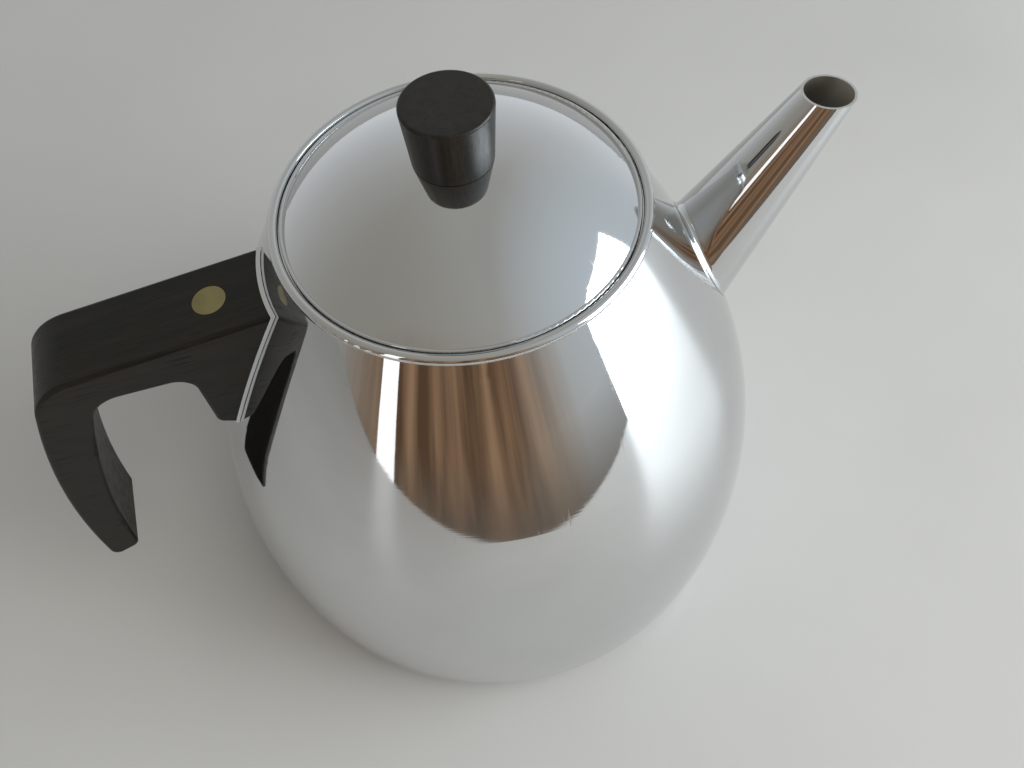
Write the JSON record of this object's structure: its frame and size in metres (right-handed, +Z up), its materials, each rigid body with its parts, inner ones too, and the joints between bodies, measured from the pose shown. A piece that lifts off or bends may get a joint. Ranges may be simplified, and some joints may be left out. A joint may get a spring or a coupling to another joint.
{
  "type": "electric kettle",
  "caption": "Egg-shaped plated electric kettle with a lift-off domed lid, straight conical spout, dark wooden hook handle and a heater, boil-dry cut-out and power inlet in its base.",
  "frame": {"origin": "on the body's axis, in the plane of the foot ring's underside that the kettle stands on", "axes": "+Z up, +X towards the spout with the handle towards -X, +Y to the left of the spout seen from the handle"},
  "size_m": [0.2096, 0.1474, 0.1646],
  "materials": {
    "chrome": "mirror plate, fine hairlines",
    "steel": "plain stainless sheet, satin",
    "wood": "dark, oiled, satin",
    "brass": "dull, lightly tarnished",
    "plated_steel": "zinc plated, satin",
    "aluminium": "cast, dull",
    "black_plastic": "moulded, matt",
    "red_plastic": "moulded, satin",
    "rubber": "matt",
    "brown_lead": "heatproof sleeve, matt",
    "blue_lead": "heatproof sleeve, matt",
    "green_lead": "heatproof sleeve, matt"
  },
  "bodies": {
    "kettle": {"body_shell": "chrome", "vessel_floor": "steel", "spout": "chrome", "handle_grip": "wood", "handle_bracket": "chrome", "handle_screw": "plated_steel", "handle_plug": "brass", "heat_spreader": "aluminium", "heating_element": "steel", "element_terminals": "plated_steel", "thermal_cutout": "black_plastic", "bimetal_disc": "brass", "cutout_tabs": "brass", "inlet_housing": "black_plastic", "inlet_bracket": "plated_steel", "inlet_screws": "plated_steel", "lead_live": "brown_lead", "lead_link": "brown_lead", "lead_neutral": "blue_lead", "lead_earth": "green_lead", "earth_tag": "brass", "earth_screw": "plated_steel", "cover_pillars": "plated_steel", "base_cover": "steel", "cover_screws": "plated_steel", "foot_ring": "rubber", "pin_live": "brass", "pin_neutral": "brass", "pin_earth": "brass"},
    "lid": {"lid_shell": "chrome", "lid_skirt": "steel", "lid_knob": "wood", "knob_insert": "brass", "knob_screw": "plated_steel", "knob_washer": "plated_steel"},
    "reset": {"reset_button": "red_plastic"}
  },
  "joints": [
    {"name": "lid_lift", "type": "slide", "parent": "kettle", "child": "lid", "axis": [0, 0, 1], "range_m": [0, 0.06]},
    {"name": "reset_press", "type": "slide", "parent": "kettle", "child": "reset", "axis": [0, 0, 1], "range_m": [0, 0.0025]}
  ]
}
